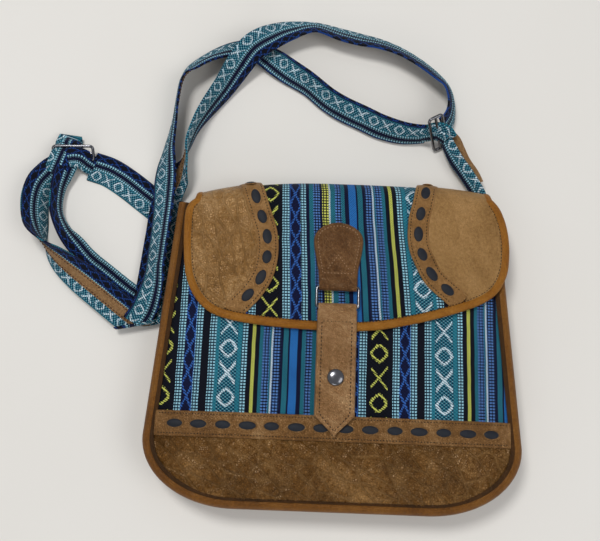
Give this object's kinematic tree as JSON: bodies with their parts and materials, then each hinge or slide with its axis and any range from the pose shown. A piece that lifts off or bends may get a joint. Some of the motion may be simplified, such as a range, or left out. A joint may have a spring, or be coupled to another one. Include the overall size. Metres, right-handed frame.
{
  "type": "leather and woven flap satchel",
  "caption": "Flap satchel of patterned woven cotton and leather, with laced leather corners, piped seams, a ring-and-snap closure strap and a webbing shoulder strap.",
  "frame": {"origin": "the middle of the bag's flat back, halfway between its sides and 124 mm above its bottom seam, on the surface that the back lies on", "axes": "+X to the right in the picture, +Y from the bottom seam to the top fold, +Z out of the front panel and flap"},
  "size_m": [0.3948, 0.4057, 0.0483],
  "materials": {
    "panel_leather": "soft brown leather, creased",
    "corner_leather": "pebbled mid-brown leather",
    "tan_leather": "smooth tan leather",
    "closure_leather": "firm brown leather with stitching",
    "woven_cotton": "striped jacquard cotton in navy, teal and yellow",
    "woven_webbing": "jacquard webbing with a leather strip on its back",
    "navy_suede": "matt suede lace",
    "cotton_lining": "plain brown cotton",
    "nickel": "polished nickel plate"
  },
  "bodies": {
    "bag": {"back_panel": "panel_leather", "gusset": "panel_leather", "front_bottom_leather": "panel_leather", "front_lace_band": "panel_leather", "front_lace": "navy_suede", "front_cloth": "woven_cotton", "top_cloth": "woven_cotton", "front_piping": "tan_leather", "back_piping": "tan_leather", "lining": "cotton_lining", "snap_stud": "nickel", "short_strap_left": "woven_webbing", "short_strap_right": "woven_webbing", "long_strap_a_lower": "woven_webbing", "long_strap_a_upper": "woven_webbing", "long_strap_b_lower": "woven_webbing", "long_strap_b_upper": "woven_webbing", "slider_left": "nickel", "slider_right": "nickel"},
    "flap": {"flap_cloth": "woven_cotton", "flap_lining": "cotton_lining", "flap_binding": "tan_leather", "flap_corner_left": "corner_leather", "flap_corner_right": "corner_leather", "flap_lace_band_left": "corner_leather", "flap_lace_band_right": "corner_leather", "flap_lace_left": "navy_suede", "flap_lace_right": "navy_suede", "closure_tab": "closure_leather"},
    "ring": {"ring": "nickel"},
    "closure_strap": {"closure_strap": "closure_leather", "snap_cap": "nickel", "snap_socket": "nickel"}
  },
  "joints": [
    {"name": "flap_hinge", "type": "hinge", "parent": "bag", "child": "flap", "pos_m": [0, 0.125, 0.0268], "axis": [-1, 0, 0], "range_deg": [0, 120]},
    {"name": "ring_swivel", "type": "hinge", "parent": "flap", "child": "ring", "pos_m": [0.0004, 0.041, 0.0426], "axis": [-1, 0, 0], "range_deg": [0, 45]},
    {"name": "closure_strap_hinge", "type": "hinge", "parent": "ring", "child": "closure_strap", "pos_m": [0.0004, 0.0258, 0.0426], "axis": [-1, 0, 0], "range_deg": [0, 50]}
  ]
}
